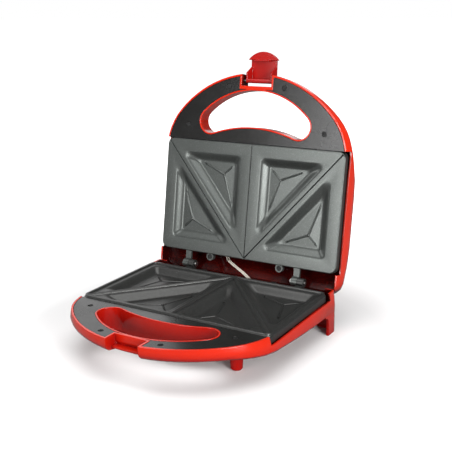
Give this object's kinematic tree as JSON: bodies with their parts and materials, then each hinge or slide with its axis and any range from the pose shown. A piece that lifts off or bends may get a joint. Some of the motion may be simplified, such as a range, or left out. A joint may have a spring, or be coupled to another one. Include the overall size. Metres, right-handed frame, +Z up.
{
  "type": "sandwich toaster",
  "caption": "Red hinged sandwich toaster with its lid open, triangular pockets in dark non-stick plates, handle loops and a hook latch.",
  "frame": {"origin": "middle of the box round the toaster standing with its lid open, on the table", "axes": "+X to the right, +Y to the hinged back, +Z up"},
  "size_m": [0.2362, 0.283, 0.2928],
  "materials": {
    "red_shell": "glossy moulded",
    "coated_plate": "satin non-stick coating",
    "black_inlay": "satin moulded",
    "black_screw": "black oxide",
    "steel": "plain",
    "aluminium_sheet": "mill",
    "ceramic": "unglazed ceramic",
    "black_rubber": "matt",
    "sleeve": "woven sleeve",
    "red_lens": "clear tinted",
    "green_lens": "clear tinted"
  },
  "bodies": {
    "base": {"lower_housing": "red_shell", "lower_cooking_plate": "coated_plate", "lower_handle_trim": "black_inlay", "lower_trim_screws": "black_screw", "lower_plate_screws": "black_screw", "lower_heating_element": "steel", "lower_element_bushes": "ceramic", "lower_element_clamp": "steel", "lower_clamp_screw": "steel", "lower_reflector": "aluminium_sheet", "hinge_pins": "steel", "terminal_block": "ceramic", "cord_inlet_bush": "black_rubber", "wire_sleeve": "sleeve"},
    "lid": {"upper_housing": "red_shell", "upper_cooking_plate": "coated_plate", "upper_handle_trim": "black_inlay", "upper_trim_screws": "black_screw", "upper_plate_screws": "black_screw", "upper_heating_element": "steel", "upper_element_bushes": "ceramic", "upper_element_clamp": "steel", "upper_clamp_screw": "steel", "upper_reflector": "aluminium_sheet", "thermostat": "ceramic", "thermal_fuse": "ceramic", "lamp_carrier": "black_inlay", "power_lamp_lens": "red_lens", "ready_lamp_lens": "green_lens", "latch_pin": "steel"},
    "latch": {"latch_clip": "red_shell"}
  },
  "joints": [
    {"name": "lid_hinge", "type": "hinge", "parent": "base", "child": "lid", "pos_m": [0, 0.08542, 0.0473], "axis": [1, 0, 0], "range_deg": [0, 99.6], "deforming": ["wire_sleeve"]},
    {"name": "latch_pivot", "type": "hinge", "parent": "lid", "child": "latch", "pos_m": [0, 0.12973, 0.2607], "axis": [1, 0, 0], "range_deg": [0, 97]}
  ]
}
